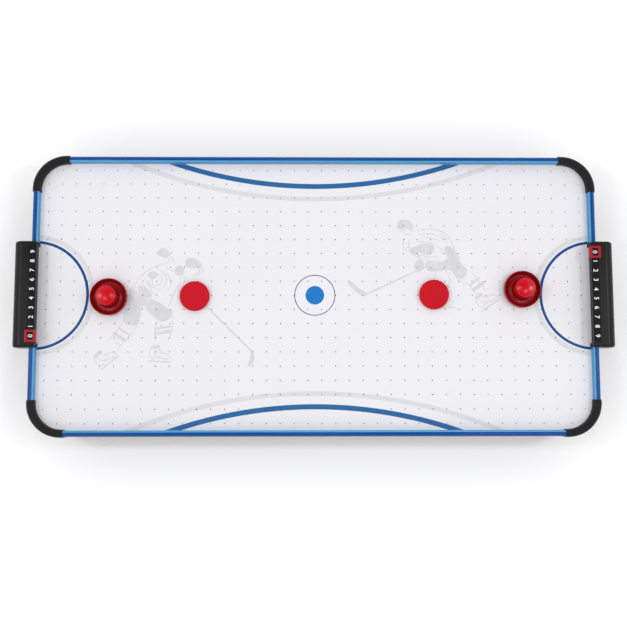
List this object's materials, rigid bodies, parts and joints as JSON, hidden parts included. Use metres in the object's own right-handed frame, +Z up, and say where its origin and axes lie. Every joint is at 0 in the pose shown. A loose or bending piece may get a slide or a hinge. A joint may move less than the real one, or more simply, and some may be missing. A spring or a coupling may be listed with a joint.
{
  "type": "air hockey table",
  "caption": "Tabletop air hockey table with a perforated field over a fan, round rails, goal hoods with sliding score markers, strikers and pucks.",
  "frame": {"origin": "on the floor under the middle of the table", "axes": "+X along the table from goal to goal, +Y across it, +Z up from the floor"},
  "size_m": [1.084, 0.512, 0.126],
  "materials": {
    "field_laminate": "glossy white laminate on hardboard",
    "rail_blue": "glossy blue",
    "elbow_black": "matte black",
    "moulded_black": "satin black",
    "apron_black": "black laminate on fibreboard",
    "board": "raw hardboard",
    "pad_rubber": "matte",
    "gasket_foam": "foam",
    "scorer_black": "satin black",
    "marker_red": "glossy red",
    "felt": "white felt",
    "striker_red": "glossy red",
    "puck_red": "glossy red",
    "fan_plastic": "satin dark grey",
    "motor_can": "zinc plated",
    "zinc_steel": "zinc plated"
  },
  "bodies": {
    "table": {"apron_back": "apron_black", "apron_front": "apron_black", "apron_left": "apron_black", "apron_right": "apron_black", "blower_gasket": "gasket_foam", "blower_housing": "moulded_black", "blower_motor": "motor_can", "blower_screws": "zinc_steel", "bottom_panel": "board", "corner_leg_left_back": "moulded_black", "corner_leg_left_front": "moulded_black", "corner_leg_right_back": "moulded_black", "corner_leg_right_front": "moulded_black", "elbow_left_back": "elbow_black", "elbow_left_front": "elbow_black", "elbow_right_back": "elbow_black", "elbow_right_front": "elbow_black", "field_rib_inner_left": "board", "field_rib_inner_right": "board", "field_rib_outer_left": "board", "field_rib_outer_right": "board", "foot_pad_left_back": "pad_rubber", "foot_pad_left_front": "pad_rubber", "foot_pad_right_back": "pad_rubber", "foot_pad_right_front": "pad_rubber", "foot_screws": "zinc_steel", "goal_hood_left": "moulded_black", "goal_hood_right": "moulded_black", "goal_tray_left": "moulded_black", "goal_tray_right": "moulded_black", "grille_screws": "zinc_steel", "inlet_nut": "zinc_steel", "intake_grille": "moulded_black", "panel_screws": "zinc_steel", "playfield": "field_laminate", "power_inlet": "moulded_black", "rail_back": "rail_blue", "rail_front": "rail_blue", "rail_left_back": "rail_blue", "rail_left_front": "rail_blue", "rail_right_back": "rail_blue", "rail_right_front": "rail_blue", "rail_screws": "zinc_steel", "scorer_bar_left": "scorer_black", "scorer_bar_right": "scorer_black", "switch_case": "moulded_black", "tray_screws": "zinc_steel"},
    "score_marker_left": {"scorer_slider_left": "marker_red"},
    "score_marker_right": {"scorer_slider_right": "marker_red"},
    "fan": {"impeller": "fan_plastic", "motor_shaft": "zinc_steel"},
    "rocker": {"switch_rocker": "moulded_black"},
    "striker_left": {"striker_left": "striker_red", "striker_felt_left": "felt"},
    "striker_right": {"striker_right": "striker_red", "striker_felt_right": "felt"},
    "puck_left": {"puck_left": "puck_red"},
    "puck_right": {"puck_right": "puck_red"}
  },
  "joints": [
    {"name": "score_slide_left", "type": "slide", "parent": "table", "child": "score_marker_left", "axis": [0, 1, 0], "range_m": [0, 0.15165]},
    {"name": "score_slide_right", "type": "slide", "parent": "table", "child": "score_marker_right", "axis": [0, -1, 0], "range_m": [0, 0.15165]},
    {"name": "fan_spin", "type": "hinge", "parent": "table", "child": "fan", "pos_m": [0, 0, 0.05], "axis": [0, 0, 1], "continuous": true},
    {"name": "rocker_tilt", "type": "hinge", "parent": "table", "child": "rocker", "pos_m": [0.02, -0.2491, 0.056], "axis": [1, 0, 0], "range_deg": [-20, 0]},
    {"name": "striker_slide_left", "type": "slide", "parent": "table", "child": "striker_left", "axis": [0, 1, 0], "range_m": [-0.205, 0.213]},
    {"name": "striker_slide_right", "type": "slide", "parent": "table", "child": "striker_right", "axis": [0, 1, 0], "range_m": [-0.219, 0.199]},
    {"name": "puck_slide_left", "type": "slide", "parent": "table", "child": "puck_left", "axis": [0, 1, 0], "range_m": [-0.2135, 0.2175]},
    {"name": "puck_slide_right", "type": "slide", "parent": "table", "child": "puck_right", "axis": [0, 1, 0], "range_m": [-0.2165, 0.2145]}
  ]
}
